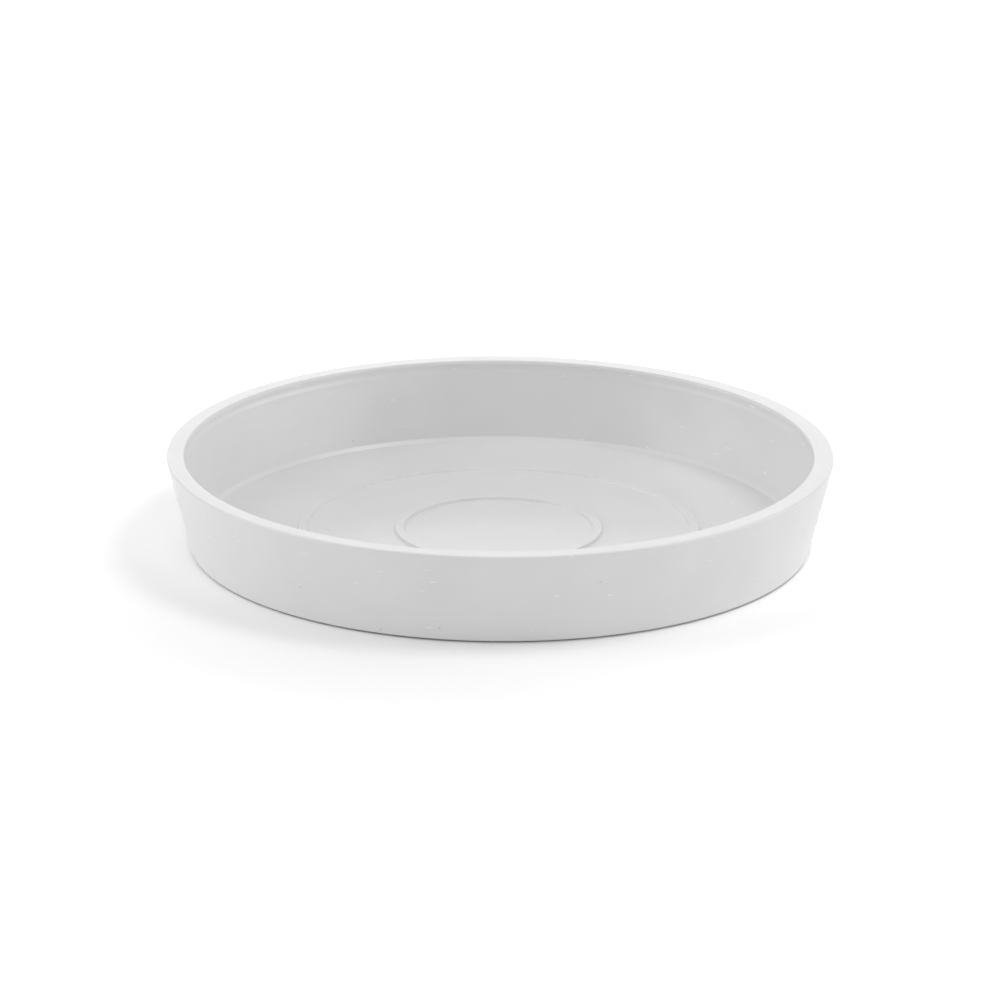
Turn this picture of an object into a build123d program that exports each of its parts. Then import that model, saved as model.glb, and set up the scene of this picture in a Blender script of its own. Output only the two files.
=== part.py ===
from build123d import *
import os

# Round plant saucer: a thick-walled moulded dish that stands on four stick-on
# foot pads, each held in a shallow pocket by its own disc of adhesive.
# All lengths are in millimetres. Z points up, the surface that the saucer
# stands on is z = 0, and the dish is round about the Z axis.

os.makedirs("parts", exist_ok=True)

# Dish: outside
rim_diameter = 208.3  # to the sharp corner, before the edge is rounded
base_diameter = 194.0  # likewise
dish_height = 28.95

# Dish: walls and floor
rim_width = 5.85
wall_foot_width = 4.55
wall_bow = 0.65  # how far the wall's inside curves out from a straight slope
floor_thickness = 3.35
floor_bevel = 1.1  # narrow slope between the floor and the wall

# Dish: rounded edges
rim_outer_radius = 0.6
rim_inner_radius = 0.5
base_edge_radius = 0.8
floor_bevel_radius = 0.3

# Two low rings on the floor: a pot's base stands on them, out of the water
inner_ridge_diameter = 62.1
inner_ridge_height = 0.9
outer_ridge_diameter = 122.9
outer_ridge_height = 0.7
ridge_width = 3.4  # from foot to foot
ridge_top_width = 2.6
ridge_foot_radius = 0.3
ridge_shoulder_radius = 0.2

# Gate mark in the middle of the underside
gate_dimple_diameter = 8.0
gate_dimple_depth = 0.6
gate_stub_diameter = 2.0
gate_stub_height = 0.3

# Foot pads, their adhesive and the pockets that they sit in
pad_count = 4
pad_circle_diameter = 160.0
first_pad_angle = 45.0
pad_diameter = 12.0
pad_thickness = 1.1
pad_edge_radius = 0.3
adhesive_thickness = 0.2
adhesive_border = 0.5
pocket_depth = 0.75
pocket_clearance = 0.3

# Levels, from the surface up
pad_top = pad_thickness
pocket_ceiling = pad_top + adhesive_thickness
base_level = pocket_ceiling - pocket_depth
floor_level = base_level + floor_thickness
rim_level = base_level + dish_height

# Radii of the dish's outline
rim_radius = rim_diameter / 2
base_radius = base_diameter / 2
mouth_radius = rim_radius - rim_width
wall_lean = (rim_radius - base_radius) / dish_height
floor_radius = base_radius + wall_lean * floor_thickness - wall_foot_width
inner_lean = (mouth_radius - floor_radius) / (rim_level - floor_level)

# Ends of the wall's inside, and of the slope between the wall and the floor
mouth = (mouth_radius, rim_level)
bevel_top = (floor_radius + inner_lean * floor_bevel, floor_level + floor_bevel)
bevel_foot = (floor_radius - floor_bevel, floor_level)


def ridge_points(diameter, height):
    # section of a floor ring, from its outer foot to its inner foot
    middle = diameter / 2
    crest_level = floor_level + height
    return (
        (middle + ridge_width / 2, floor_level),
        (middle + ridge_top_width / 2, crest_level),
        (middle - ridge_top_width / 2, crest_level),
        (middle - ridge_width / 2, floor_level),
    )


outer_ridge = ridge_points(outer_ridge_diameter, outer_ridge_height)
inner_ridge = ridge_points(inner_ridge_diameter, inner_ridge_height)

# Dish: half of its section, turned once about Z
with BuildPart() as saucer_dish:
    with BuildSketch(Plane.XZ) as dish_section:
        with BuildLine():
            Polyline(
                (0, base_level),
                (base_radius, base_level),
                (rim_radius, rim_level),
                mouth,
            )
            SagittaArc(mouth, bevel_top, wall_bow)
            Polyline(
                bevel_top,
                bevel_foot,
                *outer_ridge,
                *inner_ridge,
                (0, floor_level),
                (0, base_level),
            )
        make_face()
        corner_radii = (
            ((base_radius, base_level), base_edge_radius),
            ((rim_radius, rim_level), rim_outer_radius),
            (mouth, rim_inner_radius),
            (bevel_top, floor_bevel_radius),
            (bevel_foot, floor_bevel_radius),
            (outer_ridge[0], ridge_foot_radius),
            (outer_ridge[1], ridge_shoulder_radius),
            (outer_ridge[2], ridge_shoulder_radius),
            (outer_ridge[3], ridge_foot_radius),
            (inner_ridge[0], ridge_foot_radius),
            (inner_ridge[1], ridge_shoulder_radius),
            (inner_ridge[2], ridge_shoulder_radius),
            (inner_ridge[3], ridge_foot_radius),
        )
        for corner, radius in corner_radii:
            nearest = dish_section.vertices().sort_by_distance((*corner, 0))[0]
            fillet(nearest, radius)
    revolve(axis=Axis.Z)

    # Pockets for the foot pads
    with BuildSketch(Plane.XY.offset(base_level)):
        with PolarLocations(pad_circle_diameter / 2, pad_count, first_pad_angle):
            Circle(pad_diameter / 2 + pocket_clearance)
    extrude(amount=pocket_depth, mode=Mode.SUBTRACT)

    # Gate mark: a dimple with the stub of the runner left in it
    with BuildSketch(Plane.XY.offset(base_level)):
        Circle(gate_dimple_diameter / 2)
    extrude(amount=gate_dimple_depth, mode=Mode.SUBTRACT)
    with BuildSketch(Plane.XY.offset(base_level + gate_dimple_depth)):
        Circle(gate_stub_diameter / 2)
    extrude(amount=-gate_stub_height)

saucer_dish.part.label = "saucer_dish"
export_step(saucer_dish.part, "parts/saucer_dish.step")

# Foot pads and the adhesive discs that hold them
pad_places = PolarLocations(pad_circle_diameter / 2, pad_count, first_pad_angle)
for number, place in enumerate(pad_places, start=1):
    with BuildPart() as foot_pad:
        with BuildSketch(Plane.XY):
            with Locations(place):
                Circle(pad_diameter / 2)
        extrude(amount=pad_thickness)
        lower_edge = foot_pad.edges().group_by(Axis.Z)[0]
        fillet(lower_edge, pad_edge_radius)
    foot_pad.part.label = f"foot_pad_{number}"
    export_step(foot_pad.part, f"parts/foot_pad_{number}.step")

    with BuildPart() as pad_adhesive:
        with BuildSketch(Plane.XY.offset(pad_top)):
            with Locations(place):
                Circle(pad_diameter / 2 - adhesive_border)
        extrude(amount=adhesive_thickness)
    pad_adhesive.part.label = f"pad_adhesive_{number}"
    export_step(pad_adhesive.part, f"parts/pad_adhesive_{number}.step")
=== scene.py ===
import math

import bmesh
import bpy
import numpy as np
from mathutils import Matrix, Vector
from mathutils.geometry import delaunay_2d_cdt


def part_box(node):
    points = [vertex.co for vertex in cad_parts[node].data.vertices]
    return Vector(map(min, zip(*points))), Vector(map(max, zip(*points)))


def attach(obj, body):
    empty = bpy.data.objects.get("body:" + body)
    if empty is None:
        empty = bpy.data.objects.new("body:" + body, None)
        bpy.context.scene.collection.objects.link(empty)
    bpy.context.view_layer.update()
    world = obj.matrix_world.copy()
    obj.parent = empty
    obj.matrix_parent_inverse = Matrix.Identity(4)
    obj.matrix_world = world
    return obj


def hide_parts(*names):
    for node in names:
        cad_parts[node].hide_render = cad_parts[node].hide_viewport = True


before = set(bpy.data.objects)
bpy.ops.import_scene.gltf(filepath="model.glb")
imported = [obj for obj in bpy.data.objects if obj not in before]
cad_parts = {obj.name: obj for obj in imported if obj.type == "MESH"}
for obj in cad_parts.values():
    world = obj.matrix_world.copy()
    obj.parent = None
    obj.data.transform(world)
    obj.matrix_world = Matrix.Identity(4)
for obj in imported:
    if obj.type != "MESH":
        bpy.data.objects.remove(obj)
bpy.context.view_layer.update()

mm = 0.001
poleShare = 1 / 40  # of a disc's radius: how far from its middle the fan of faces starts
padNumbers = (1, 2, 3, 4)
print("frame loaded,", len(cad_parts), "nodes")


# Helpers for shapes

def roundedOutline(corners, radii, arcSteps=8, longest=2.0, support=0.08):
    # Open outline in (radius, height). At a corner P with unit vectors a and b along its two
    # sides and half angle h between them, the arc has centre P + (a + b) / |a + b| * r / sin h
    # and touches the sides at r / tan h. Straight runs get points no further apart than longest,
    # and one more close to each end, so that smooth shading keeps the flats flat.
    corners = np.array(corners, float)
    stops = [(corners[0], corners[0], None)]
    for before, point, after, radius in zip(corners[:-2], corners[1:-1], corners[2:], radii):
        a = (before - point) / np.linalg.norm(before - point)
        b = (after - point) / np.linalg.norm(after - point)
        half = math.acos(np.clip(a @ b, -1, 1)) / 2
        reach = radius / math.tan(half)
        middle = point + (a + b) / np.linalg.norm(a + b) * radius / math.sin(half)
        start = point + a * reach - middle
        end = point + b * reach - middle
        turn = math.atan2(start[0] * end[1] - start[1] * end[0], start @ end)
        angle = np.linspace(0, turn, arcSteps + 1)[:, None]
        arc = middle + start * np.cos(angle) + np.array([-start[1], start[0]]) * np.sin(angle)
        stops.append((arc[0], arc[-1], arc))
    stops.append((corners[-1], corners[-1], None))
    pieces = []
    for (_, left, _), (right, _, arc) in zip(stops[:-1], stops[1:]):
        length = np.linalg.norm(right - left)
        count = max(2, math.ceil(length / longest) + 1)
        along = np.linspace(0, 1, count)
        near = min(support / length, 0.25)
        along = np.unique(np.concatenate([along, [near, 1 - near]]))[:, None]
        pieces.append(left + (right - left) * along)
        if arc is not None:
            pieces.append(arc[1:-1])
    return np.concatenate(pieces)


def spin(outline, turns, centre=(0.0, 0.0), closeStart=False, closeEnd=False):
    # x = cx + r cos t, y = cy + r sin t, z as in the outline, for t over one full turn. The
    # seam closes because the index wraps, and an end on the axis closes in a fan.
    turn = np.arange(turns) * 2 * np.pi / turns
    r, z = outline.T
    points = np.stack([
        centre[0] + np.outer(r, np.cos(turn)),
        centre[1] + np.outer(r, np.sin(turn)),
        np.repeat(z[:, None], turns, axis=1),
    ], -1)
    index = np.arange(len(r) * turns).reshape(len(r), turns)
    onward = np.roll(index, -1, axis=1)
    faces = [np.stack([index[:-1], onward[:-1], onward[1:], index[1:]], -1).reshape(-1, 4)]
    points = points.reshape(-1, 3)
    poles = []
    if closeStart:
        pole = np.full(turns, len(points) + len(poles))
        faces.append(np.stack([pole, onward[0], index[0]], -1))
        poles.append((*centre, z[0]))
    if closeEnd:
        pole = np.full(turns, len(points) + len(poles))
        faces.append(np.stack([index[-1], onward[-1], pole], -1))
        poles.append((*centre, z[-1]))
    if poles:
        points = np.concatenate([points, np.array(poles)])
    return points, faces


def circle(radius, turns, centre=(0.0, 0.0)):
    # x = cx + r cos t, y = cy + r sin t
    turn = np.arange(turns) * 2 * np.pi / turns
    return np.stack([centre[0] + radius * np.cos(turn), centre[1] + radius * np.sin(turn)], -1)


def flatPlate(edge, holes, height):
    # The flat area inside one closed edge and outside the round holes, at one height, facing
    # down: triangles between the loops' points, less those whose own middle is nearer to a
    # hole's middle than the hole's radius
    loops = [edge, *holes]
    flat = np.concatenate(loops)
    starts = np.cumsum([0] + [len(loop) for loop in loops])
    sides = []
    for start, loop in zip(starts, loops):
        own = start + np.arange(len(loop))
        sides.append(np.stack([own, np.roll(own, -1)], -1))
    insideTriangles = 1  # the kind of result: the triangles inside the outermost loop
    nearest = 1e-9
    sides = np.concatenate(sides).tolist()
    found = delaunay_2d_cdt(flat.tolist(), sides, [], insideTriangles, nearest)
    spots = np.array([tuple(v) for v in found[0]])
    faces = np.array(found[2])
    for hole in holes:
        middle = hole.mean(axis=0)
        radius = np.hypot(*(hole[0] - middle))
        away = np.hypot(*(spots[faces].mean(axis=1) - middle).T)
        faces = faces[away > radius]
    a, b, c = (spots[faces[:, k]] for k in range(3))
    up = (b[:, 0] - a[:, 0]) * (c[:, 1] - a[:, 1]) - (b[:, 1] - a[:, 1]) * (c[:, 0] - a[:, 0]) > 0
    faces[up] = faces[up][:, ::-1]
    return np.column_stack([spots, np.full(len(spots), height)]), [faces]


def addPiece(name, parts, material):
    # parts: (points in mm, face index arrays, smooth or not), put together and welded where
    # they meet
    points, corners, counts, smooth = [], [], [], []
    offset = 0
    for spots, groups, isSmooth in parts:
        for group in groups:
            corners.append((group + offset).ravel())
            counts.append(np.full(len(group), group.shape[1]))
            smooth.append(np.full(len(group), isSmooth))
        points.append(spots * mm)
        offset += len(spots)
    points, corners, counts, smooth = (np.concatenate(x) for x in (points, corners, counts, smooth))
    mesh = bpy.data.meshes.new(name)
    mesh.vertices.add(len(points))
    mesh.vertices.foreach_set("co", points.ravel())
    mesh.loops.add(len(corners))
    mesh.loops.foreach_set("vertex_index", corners.astype(np.int32))
    mesh.polygons.add(len(counts))
    mesh.polygons.foreach_set("loop_start", (np.cumsum(counts) - counts).astype(np.int32))
    mesh.polygons.foreach_set("use_smooth", smooth)
    mesh.update(calc_edges=True)
    weldDistance = 1e-3 * mm
    work = bmesh.new()
    work.from_mesh(mesh)
    bmesh.ops.remove_doubles(work, verts=work.verts, dist=weldDistance)
    work.to_mesh(mesh)
    work.free()
    mesh.materials.append(material)
    piece = bpy.data.objects.new(name, mesh)
    bpy.context.scene.collection.objects.link(piece)
    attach(piece, "root")
    return piece


# Helpers for materials

def linearColour(code, alpha=1.0):
    # sRGB hex to linear light: c / 12.92 below 0.04045, else ((c + 0.055) / 1.055) ** 2.4
    levels = np.array([int(code[i:i + 2], 16) for i in (0, 2, 4)]) / 255
    linear = np.where(levels <= 0.04045, levels / 12.92, ((levels + 0.055) / 1.055) ** 2.4)
    return (*linear.tolist(), alpha)


def addNode(tree, kind, settings=None, links=None):
    # One node: settings are its own fields, or inputs by name or number; links are inputs by
    # name or number, each given as (node, output)
    node = tree.nodes.new(kind)
    for key, value in (settings or {}).items():
        if isinstance(key, str) and hasattr(node, key):
            setattr(node, key, value)
        else:
            node.inputs[key].default_value = value
    for key, (source, output) in (links or {}).items():
        tree.links.new(source.outputs[output], node.inputs[key])
    return node


def newMaterial(name):
    material = bpy.data.materials.new(name)
    material.use_nodes = True
    tree = material.node_tree
    tree.nodes.clear()
    return material, tree, tree.nodes.new("ShaderNodeOutputMaterial")


# Dish

dish = dict(
    rimWidth=5.85, footWidth=4.55, rimDiameter=208.3, baseDiameter=194.0, floorThickness=3.35,
    baseEdge=0.8, rimOuterEdge=0.6, rimInnerEdge=0.5, bevel=1.1, bevelEdge=0.3,
    outerRing=122.9, outerRingHeight=0.7, innerRing=62.1, innerRingHeight=0.9,
    ringWidth=3.4, ringTop=2.6, ringFoot=0.3, ringShoulder=0.2,
    wallBow=0.65, turns=384, plateMargin=4.0, margin=0.002,
    coreShift=0.4, shiftRun=1.5,  # the core sits to the left, so the rim is wider on the right
    stepDrop=3.3, stepSpread=0.7, stepDepth=0.08, stepPoints=24,  # soft step under the rim
    pocketClearance=0.3, pocketDepth=0.75, pocketEdge=0.1, lastEdgeShare=0.999, pocketTurns=64,
    gateDimple=8.0, gateDepth=0.6, gateStub=2.0, gateStubHeight=0.3, gateTurns=48,
)


def ringCorners(diameter, height, floorLevel):
    # floor ring's section: foot, shoulder, shoulder, foot, from outside to inside
    middle, crest = diameter / 2, floorLevel + height
    foot, shoulder = dish["ringWidth"] / 2, dish["ringTop"] / 2
    return [
        (middle + foot, floorLevel), (middle + shoulder, crest),
        (middle - shoulder, crest), (middle - foot, floorLevel),
    ]


def shapeWall(outline, rim, bevelTop):
    # Inner wall's section: bowed outwards by bow * 4 u (1 - u), with u from 0 at the foot to 1 at
    # the rim, and moved by -depth * s * exp((1 - s * s) / 2) at the step, with
    # s = (rim - z - drop) / spread, so the wall leans in faster there. Points lie closer there.
    wallStart = np.flatnonzero(outline[:, 1] < rim - dish["rimInnerEdge"])[0]
    wallEnd = np.flatnonzero(outline[:, 1] > bevelTop)[-1] + 1
    wall = outline[wallStart:wallEnd]
    nearest, furthest = dish["rimInnerEdge"] + dish["stepSpread"] / 4, 2 * dish["stepDrop"]
    near = rim - np.linspace(nearest, furthest, dish["stepPoints"])
    z = np.unique(np.concatenate([wall[:, 1], near]))
    r = np.interp(z, wall[::-1, 1], wall[::-1, 0])
    wall = np.stack([r, z], -1)[::-1]
    r, z = np.concatenate([outline[:wallStart], wall, outline[wallEnd:]]).T
    u = np.clip((z - bevelTop) / (rim - bevelTop), 0, 1)
    s = (rim - z - dish["stepDrop"]) / dish["stepSpread"]
    bow = dish["wallBow"] * 4 * u * (1 - u)
    step = -dish["stepDepth"] * s * np.exp((1 - s * s) / 2)
    return np.stack([r + bow + step, z], -1)


def makeDish(material):
    # The outside and the inside are two half sections turned about Z, that meet in a circle on
    # the flat rim. The inside is then moved by shift * clip((rim middle - r) / run, 0, 1). The
    # underside is a flat plate with round openings, and each opening has its own turned cup.
    low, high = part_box("saucer_dish")
    base, rim = low.z / mm, high.z / mm
    floorLevel = base + dish["floorThickness"]
    rimRadius, baseRadius = dish["rimDiameter"] / 2, dish["baseDiameter"] / 2
    lean = (rimRadius - baseRadius) / (rim - base)
    floorRadius = baseRadius + lean * dish["floorThickness"] - dish["footWidth"]
    plateRadius = baseRadius - dish["plateMargin"]
    rimMiddle = rimRadius - dish["rimWidth"] / 2
    outside = roundedOutline(
        [(plateRadius, base), (baseRadius, base), (rimRadius, rim), (rimMiddle, rim)],
        [dish["baseEdge"], dish["rimOuterEdge"]],
    )
    outside[:, 0] *= min(1, (high.x / mm - dish["margin"]) / outside[:, 0].max())  # inside the CAD box
    shell = spin(outside, dish["turns"])

    mouthRadius, bevel = rimRadius - dish["rimWidth"], dish["bevel"]
    innerLean = (mouthRadius - floorRadius) / (rim - floorLevel)
    innerRing = ringCorners(dish["innerRing"], dish["innerRingHeight"], floorLevel)
    outerRing = ringCorners(dish["outerRing"], dish["outerRingHeight"], floorLevel)
    ringRadii = [dish["ringFoot"], dish["ringShoulder"], dish["ringShoulder"], dish["ringFoot"]]
    centreEnd = innerRing[-1][0] * poleShare
    inside = roundedOutline(
        [(rimMiddle, rim), (mouthRadius, rim), (floorRadius + innerLean * bevel, floorLevel + bevel),
         (floorRadius - bevel, floorLevel), *outerRing, *innerRing, (centreEnd, floorLevel)],
        [dish["rimInnerEdge"], dish["bevelEdge"], dish["bevelEdge"], *ringRadii, *ringRadii],
        arcSteps=6,
    )
    inside = shapeWall(inside, rim, floorLevel + bevel)
    inside[0] = outside[-1]  # the same circle, so that the two halves weld
    core, coreFaces = spin(inside, dish["turns"], closeEnd=True)
    inwards = inside[0, 0] - np.hypot(*core[:, :2].T)
    core[:, 0] -= dish["coreShift"] * np.clip(inwards / dish["shiftRun"], 0, 1)
    parts = [(*shell, True), (core, coreFaces, True)]

    holes = []
    edge = dish["pocketEdge"]
    lastEdge = edge * dish["lastEdgeShare"]  # a little less, so a straight run is left beyond it
    for number in padNumbers:
        padLow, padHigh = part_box(f"foot_pad_{number}")
        centre = ((padLow.x + padHigh.x) / 2 / mm, (padLow.y + padHigh.y) / 2 / mm)
        pocket = (padHigh.x - padLow.x) / 2 / mm + dish["pocketClearance"]
        ceiling = base + dish["pocketDepth"]
        cup = roundedOutline(
            [(pocket * poleShare, ceiling), (pocket, ceiling), (pocket, base), (pocket + edge, base)],
            [edge, lastEdge], arcSteps=4,
        )
        parts.append((*spin(cup, dish["pocketTurns"], centre, closeStart=True), True))
        holes.append(circle(pocket + edge, dish["pocketTurns"], centre))
    ceiling = base + dish["gateDepth"]
    stubEnd = ceiling - dish["gateStubHeight"]
    stub, dimple = dish["gateStub"] / 2, dish["gateDimple"] / 2
    cup = roundedOutline(
        [(stub * poleShare, stubEnd), (stub, stubEnd), (stub, ceiling),
         (dimple, ceiling), (dimple, base), (dimple + edge, base)],
        [edge, edge, edge, lastEdge], arcSteps=4,
    )
    parts.append((*spin(cup, dish["gateTurns"], closeStart=True), True))
    holes.append(circle(dimple + edge, dish["gateTurns"]))
    parts.append((*flatPlate(circle(outside[0, 0], dish["turns"]), holes, base), False))
    piece = addPiece("dish_shell", parts, material)
    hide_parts("saucer_dish")


def roundPattern(tree, place, length, width):
    # Pattern coordinates that run round the dish: the direction from the axis, times
    # radius / length, plus (r + z) / width upwards. Noise on them gives marks about length long
    # round the dish and width across, on the walls and on the floor, with no seam.
    flat = addNode(tree, "ShaderNodeVectorMath", {"operation": "MULTIPLY", 1: (1, 1, 0)},
                   {0: (place, "Object")})
    radius = addNode(tree, "ShaderNodeVectorMath", {"operation": "LENGTH"}, {0: (flat, 0)})
    around = addNode(tree, "ShaderNodeVectorMath", {"operation": "NORMALIZE"}, {0: (flat, 0)})
    reach = dish["rimDiameter"] / 2 / length
    around = addNode(tree, "ShaderNodeVectorMath", {"operation": "SCALE", "Scale": reach}, {0: (around, 0)})
    split = addNode(tree, "ShaderNodeSeparateXYZ", links={0: (place, "Object")})
    across = addNode(tree, "ShaderNodeMath", {"operation": "ADD"}, {0: (radius, "Value"), 1: (split, "Z")})
    across = addNode(tree, "ShaderNodeMath", {"operation": "DIVIDE", 1: width * mm}, {0: (across, 0)})
    across = addNode(tree, "ShaderNodeCombineXYZ", links={"Z": (across, 0)})
    return addNode(tree, "ShaderNodeVectorMath", {"operation": "ADD"}, {0: (around, 0), 1: (across, 0)})


plastic = dict(
    pale="e9e9e9", shade="e5e5e5", speckColour="d8d8d8", scuffColour="f4f4f4",
    roughness=0.28, ior=1.5, sheen=0.4,
    mottleSize=24.0,  # soft clouds from uneven cooling
    streakLength=160.0, streakWidth=2.4,  # polishing lines of the mould, round the dish
    streakHeight=0.0004, streakGloss=0.004,  # how far they change the height and the roughness
    scuffLength=4.0, scuffWidth=0.8,  # short marks from pots and stacking
    speckSpacing=6.0, speckSize=0.9, speckBlur=0.3, speckShare=0.12,  # share of cells with a speck
    smudgeSize=15.0, smudgeGloss=0.02,  # handled patches, a little duller
    grainSize=0.5, grainHeight=0.012,  # spark-eroded grain, really about 0.1 wide
    # noise lies mostly between low and high; smudges and scuffs come in between their own levels
    low=0.3, high=0.7, smudgeStart=0.4, smudgeFull=0.75, scuffStart=0.80, scuffFull=0.86,
)


def dishPlastic():
    # Polypropylene, injection moulded against fine satin steel. The eye gets an even pale grey
    # with soft broad highlights, a bloom where it is seen at a low angle, which the sheen
    # gives, faint lines round the walls, and a few small scuffs and specks.
    material, tree, output = newMaterial("mouldedPolypropylene")
    place = addNode(tree, "ShaderNodeTexCoord")
    span = {"From Min": plastic["low"], "From Max": plastic["high"]}
    mottle = addNode(tree, "ShaderNodeTexNoise", {"Scale": 1 / (plastic["mottleSize"] * mm), "Detail": 3.0},
                     {"Vector": (place, "Object")})
    mottle = addNode(tree, "ShaderNodeMapRange", span, {"Value": (mottle, 0)})
    colour = addNode(tree, "ShaderNodeMix", {
        "data_type": "RGBA", 6: linearColour(plastic["pale"]), 7: linearColour(plastic["shade"])},
        {0: (mottle, 0)})

    lines = roundPattern(tree, place, plastic["streakLength"], plastic["streakWidth"])
    lines = addNode(tree, "ShaderNodeTexNoise", {"Scale": 1.0, "Detail": 2.0}, {"Vector": (lines, 0)})

    # a speck is where a cell's own point lies near
    cells = addNode(tree, "ShaderNodeTexVoronoi", {"Scale": 1 / (plastic["speckSpacing"] * mm)},
                    {"Vector": (place, "Object")})
    reach, blur = plastic["speckSize"] / 2 / plastic["speckSpacing"], plastic["speckBlur"]
    speck = addNode(tree, "ShaderNodeMapRange", {
        "From Min": reach * (1 + blur), "From Max": reach * (1 - blur)}, {"Value": (cells, "Distance")})
    chosen = addNode(tree, "ShaderNodeSeparateColor", links={0: (cells, "Color")})
    chosen = addNode(tree, "ShaderNodeMath", {"operation": "LESS_THAN", 1: plastic["speckShare"]},
                     {0: (chosen, 0)})
    speck = addNode(tree, "ShaderNodeMath", {"operation": "MULTIPLY"}, {0: (speck, 0), 1: (chosen, 0)})
    colour = addNode(tree, "ShaderNodeMix", {"data_type": "RGBA", 7: linearColour(plastic["speckColour"])},
                     {0: (speck, 0), 6: (colour, 2)})

    scuff = roundPattern(tree, place, plastic["scuffLength"], plastic["scuffWidth"])
    scuff = addNode(tree, "ShaderNodeTexNoise", {"Scale": 1.0, "Detail": 0.0}, {"Vector": (scuff, 0)})
    scuff = addNode(tree, "ShaderNodeMapRange", {
        "From Min": plastic["scuffStart"], "From Max": plastic["scuffFull"]}, {"Value": (scuff, 0)})
    colour = addNode(tree, "ShaderNodeMix", {"data_type": "RGBA", 7: linearColour(plastic["scuffColour"])},
                     {0: (scuff, 0), 6: (colour, 2)})

    smudge = addNode(tree, "ShaderNodeTexNoise", {"Scale": 1 / (plastic["smudgeSize"] * mm), "Detail": 4.0},
                     {"Vector": (place, "Object")})
    smudge = addNode(tree, "ShaderNodeMapRange", {
        "From Min": plastic["smudgeStart"], "From Max": plastic["smudgeFull"],
        "To Max": plastic["smudgeGloss"]}, {"Value": (smudge, 0)})
    gloss, change = plastic["roughness"], plastic["streakGloss"]
    rough = addNode(tree, "ShaderNodeMapRange", {
        **span, "To Min": gloss - change, "To Max": gloss + change}, {"Value": (lines, 0)})
    rough = addNode(tree, "ShaderNodeMath", {"operation": "ADD"}, {0: (rough, 0), 1: (smudge, 0)})

    grain = addNode(tree, "ShaderNodeTexNoise", {"Scale": 1 / (plastic["grainSize"] * mm), "Detail": 1.0},
                    {"Vector": (place, "Object")})
    surface = addNode(tree, "ShaderNodeBump", {"Strength": 1.0, "Distance": plastic["grainHeight"] * mm},
                      {"Height": (grain, 0)})
    surface = addNode(tree, "ShaderNodeBump", {"Strength": 1.0, "Distance": plastic["streakHeight"] * mm},
                      {"Height": (lines, 0), "Normal": (surface, 0)})
    shader = addNode(tree, "ShaderNodeBsdfPrincipled", {
        "IOR": plastic["ior"], "Sheen Weight": plastic["sheen"]}, {
        "Base Color": (colour, 2), "Roughness": (rough, 0), "Normal": (surface, 0)})
    tree.links.new(shader.outputs[0], output.inputs["Surface"])
    return material


# Feet

feet = dict(
    rubberDark="262626", rubberPale="343434", rubberSmooth=0.75, rubberRough=0.92, rubberIor=1.5,
    poreSize=0.35, poreDepth=0.03,
    adhesiveClear="dedcd3", adhesiveMilky="c9c7bd", adhesiveSmooth=0.25, adhesiveRough=0.45,
    adhesiveIor=1.47, bubbleSize=0.8, bubbleHeight=0.012,
    lowerEdge=0.3, adhesiveEdge=0.04, upperEdgeShare=0.25,  # the upper edge is that much of the lower
    turns=64,
)


def cellMaterial(name, size, height, ior, colours, roughness):
    # Cells of one size, in mm: the colour and the roughness go from the first of the two to the
    # second, and the surface rises by height, from a cell's own point to its edge
    material, tree, output = newMaterial(name)
    place = addNode(tree, "ShaderNodeTexCoord")
    cells = addNode(tree, "ShaderNodeTexVoronoi", {"Scale": 1 / (size * mm)}, {"Vector": (place, "Object")})
    first, second = (linearColour(code) for code in colours)
    colour = addNode(tree, "ShaderNodeMix", {"data_type": "RGBA", 6: first, 7: second},
                     {0: (cells, "Distance")})
    rough = addNode(tree, "ShaderNodeMapRange", {"To Min": roughness[0], "To Max": roughness[1]},
                    {"Value": (cells, "Distance")})
    surface = addNode(tree, "ShaderNodeBump", {"Strength": 1.0, "Distance": height * mm},
                      {"Height": (cells, "Distance")})
    shader = addNode(tree, "ShaderNodeBsdfPrincipled", {"IOR": ior}, {
        "Base Color": (colour, 2), "Roughness": (rough, 0), "Normal": (surface, 0)})
    tree.links.new(shader.outputs[0], output.inputs["Surface"])
    return material


def padRubber():
    # EVA foam rubber, die-cut from sheet: dark, dry and matte, with fine open pores
    return cellMaterial(
        "evaRubber", feet["poreSize"], feet["poreDepth"], feet["rubberIor"],
        (feet["rubberDark"], feet["rubberPale"]), (feet["rubberSmooth"], feet["rubberRough"]),
    )


def padAdhesive():
    # Acrylic adhesive: a milky, slightly glossy film with trapped air
    return cellMaterial(
        "acrylicAdhesive", feet["bubbleSize"], feet["bubbleHeight"], feet["adhesiveIor"],
        (feet["adhesiveClear"], feet["adhesiveMilky"]), (feet["adhesiveSmooth"], feet["adhesiveRough"]),
    )


def makeDisc(name, node, edge, material):
    # solid disc: bottom, side and top of one section turned about the disc's own axis
    low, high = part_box(node)
    centre = ((low.x + high.x) / 2 / mm, (low.y + high.y) / 2 / mm)
    radius, bottom, top = (high.x - low.x) / 2 / mm, low.z / mm, high.z / mm
    start = radius * poleShare
    outline = roundedOutline(
        [(start, bottom), (radius, bottom), (radius, top), (start, top)],
        [edge, edge * feet["upperEdgeShare"]], arcSteps=5,
    )
    parts = [(*spin(outline, feet["turns"], centre, closeStart=True, closeEnd=True), True)]
    piece = addPiece(name, parts, material)
    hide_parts(node)


makeDish(dishPlastic())
rubber, adhesive = padRubber(), padAdhesive()
discs = (
    ("rubber_foot", "foot_pad", feet["lowerEdge"], rubber, "pad_rubber"),
    ("adhesive_disc", "pad_adhesive", feet["adhesiveEdge"], adhesive, "pad_adhesive"),
)
for number in padNumbers:
    for name, node, edge, material, slot in discs:
        makeDisc(f"{name}_{number}", f"{node}_{number}", edge, material)
print("dish and feet made")


# Floor, camera and lights

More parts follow.
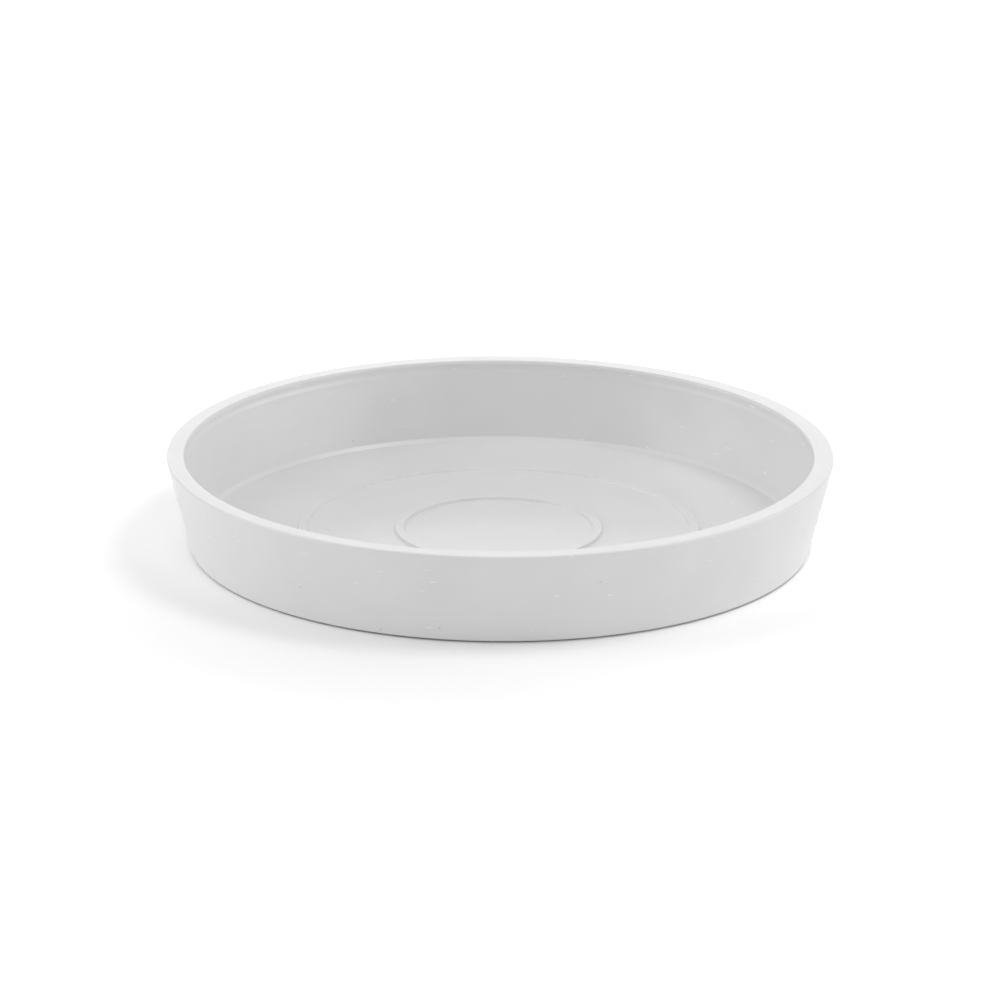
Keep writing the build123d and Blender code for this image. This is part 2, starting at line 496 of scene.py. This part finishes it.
studio = dict(
    floorHalf=4.0, floorColour="f6f6f6",
    # painted shade round the dish: the camera sees the paper's colour times paintedShadeGain at
    # paintedShadeCentre, by the dish's front left, rising to farGain at paintedShadeReach from there and
    # beyond, where it is plain white, as reflections see it too
    paintedShadeCentre=(-0.025, -0.061, 0), paintedShadeReach=0.26, paintedShadeGain=0.94, farGain=1.53, mirroredGain=1.5,
    fill=0.45,  # the room's light on things; the camera sees the room white
    # reflections see the room white behind and above the dish, and dark on the camera's side:
    # the white comes in between these two cosines of the angle to a line that rises to the back
    roomRise=40.0, roomDark=-0.3, roomWhite=0.5,
)


def makeFloor():
    # one square face, from -half to half both ways
    half = studio["floorHalf"]
    corners = [(-half, -half, 0), (half, -half, 0), (half, half, 0), (-half, half, 0)]
    mesh = bpy.data.meshes.new("floor")
    mesh.from_pydata(corners, [], [(0, 1, 2, 3)])
    floor = bpy.data.objects.new("floor", mesh)
    bpy.context.scene.collection.objects.link(floor)
    material, tree, output = newMaterial("whitePaperPaintedShade")
    lit = linearColour(studio["floorColour"])
    # painted shade: gain = farGain + (paintedShadeGain - farGain) * (1 - distance / reach) squared, with
    # the distance from paintedShadeCentre, so the paper darkens towards the dish
    place = addNode(tree, "ShaderNodeTexCoord")
    place = addNode(tree, "ShaderNodeMapping", {
        "vector_type": "TEXTURE", "Location": studio["paintedShadeCentre"], "Scale": [studio["paintedShadeReach"]] * 3},
        {"Vector": (place, "Object")})
    # painted shade: 1 at paintedShadeCentre by the dish, down to 0 at paintedShadeReach from it
    shade = addNode(tree, "ShaderNodeTexGradient", {"gradient_type": "QUADRATIC_SPHERE"},
                    {"Vector": (place, 0)})
    gain = addNode(tree, "ShaderNodeMapRange", {"To Min": studio["farGain"], "To Max": studio["paintedShadeGain"]},
                   {"Value": (shade, 1)})
    path = addNode(tree, "ShaderNodeLightPath")
    gain = addNode(tree, "ShaderNodeMix", {"data_type": "FLOAT", 3: studio["mirroredGain"]}, {
        0: (path, "Is Glossy Ray"), 2: (gain, 0)})
    seen = addNode(tree, "ShaderNodeVectorMath", {"operation": "SCALE", 0: lit[:3]}, {"Scale": (gain, 0)})
    rays = addNode(tree, "ShaderNodeMath", {"operation": "MAXIMUM"}, {
        0: (path, "Is Camera Ray"), 1: (path, "Is Glossy Ray")})
    rays = addNode(tree, "ShaderNodeMath", {"operation": "MAXIMUM"}, {
        0: (rays, 0), 1: (path, "Is Transmission Ray")})
    colour = addNode(tree, "ShaderNodeMix", {"data_type": "RGBA", 6: lit}, {0: (rays, 0), 7: (seen, 0)})
    shader = addNode(tree, "ShaderNodeBsdfDiffuse", links={"Color": (colour, 2)})
    tree.links.new(shader.outputs[0], output.inputs["Surface"])
    mesh.materials.append(material)


# distance in metres, angles in degrees, lens and aimHeight in mm
camera = dict(
    distance=1.872, elevation=18.40, tiltUp=0.362, turn=0.0, roll=0.27, lens=214.85, sensor=36.0,
    aimHeight=1.0, nearest=0.1, furthest=20.0,
)


def makeCamera():
    data = bpy.data.cameras.new("camera")
    data.lens, data.sensor_width = camera["lens"], camera["sensor"]
    data.clip_start, data.clip_end = camera["nearest"], camera["furthest"]
    item = bpy.data.objects.new("camera", data)
    bpy.context.scene.collection.objects.link(item)
    rise = math.radians(camera["elevation"])
    back, up = camera["distance"] * math.cos(rise), camera["distance"] * math.sin(rise)
    place = Matrix.Translation((0, -back, up + camera["aimHeight"] * mm))
    turn = Matrix.Rotation(math.radians(camera["turn"]), 4, "Z")
    pitch = Matrix.Rotation(math.radians(90 - camera["elevation"] + camera["tiltUp"]), 4, "X")
    roll = Matrix.Rotation(math.radians(camera["roll"]), 4, "Z")
    item.matrix_world = place @ turn @ pitch @ roll
    bpy.context.scene.camera = item


# azimuth 0 is to the right (+X) and 90 is behind the dish (+Y); sizes in metres, power in watts
lightDistance = 1.5
softBoxes = {
    "rightHigh": dict(azimuth=0, elevation=60, size=(0.6, 0.5), power=4.3),
    "rightStrip": dict(azimuth=355, elevation=8, size=(1.5, 0.35), power=4.5),
    "leftHigh": dict(azimuth=180, elevation=45, size=(0.7, 0.6), power=2.63),
    "leftStrip": dict(azimuth=180, elevation=16, size=(1.5, 0.5), power=4.2),
    "frontHigh": dict(azimuth=270, elevation=45, size=(0.7, 0.6), power=2.35),
    "backStrip": dict(azimuth=90, elevation=13, size=(1.6, 0.22), power=2.15),
}


def makeLights():
    for name, box in softBoxes.items():
        data = bpy.data.lights.new(name, "AREA")
        data.shape, data.energy = "RECTANGLE", box["power"]
        data.size, data.size_y = box["size"]
        lamp = bpy.data.objects.new(name, data)
        lamp.visible_camera = False
        bpy.context.scene.collection.objects.link(lamp)
        a, e = math.radians(box["azimuth"]), math.radians(box["elevation"])
        away = (math.cos(e) * math.cos(a), math.cos(e) * math.sin(a), math.sin(e))
        spot = Matrix.Translation([lightDistance * part for part in away])
        turn = Matrix.Rotation(a + math.pi / 2, 4, "Z") @ Matrix.Rotation(math.pi / 2 - e, 4, "X")
        lamp.matrix_world = spot @ turn
    world = bpy.data.worlds.new("studio")
    world.use_nodes = True
    tree = world.node_tree
    rise = math.radians(studio["roomRise"])
    place = addNode(tree, "ShaderNodeTexCoord")
    back = addNode(tree, "ShaderNodeVectorMath", {
        "operation": "DOT_PRODUCT", 1: (0, math.cos(rise), math.sin(rise))}, {0: (place, "Generated")})
    mirrored = addNode(tree, "ShaderNodeMapRange", {
        "From Min": studio["roomDark"], "From Max": studio["roomWhite"]}, {"Value": (back, "Value")})
    path = addNode(tree, "ShaderNodeLightPath")
    seen = addNode(tree, "ShaderNodeMath", {"operation": "MAXIMUM"}, {
        0: (path, "Is Camera Ray"), 1: (path, "Is Transmission Ray")})
    strength = addNode(tree, "ShaderNodeMapRange", {"To Min": studio["fill"]}, {"Value": (seen, 0)})
    strength = addNode(tree, "ShaderNodeMix", {"data_type": "FLOAT"}, {
        0: (path, "Is Glossy Ray"), 2: (strength, 0), 3: (mirrored, 0)})
    background = tree.nodes["Background"]
    background.inputs["Color"].default_value = (1, 1, 1, 1)
    tree.links.new(strength.outputs[0], background.inputs["Strength"])
    bpy.context.scene.world = world


makeFloor()
makeCamera()
makeLights()
bpy.context.scene.view_settings.view_transform = "Standard"
print("stage set")
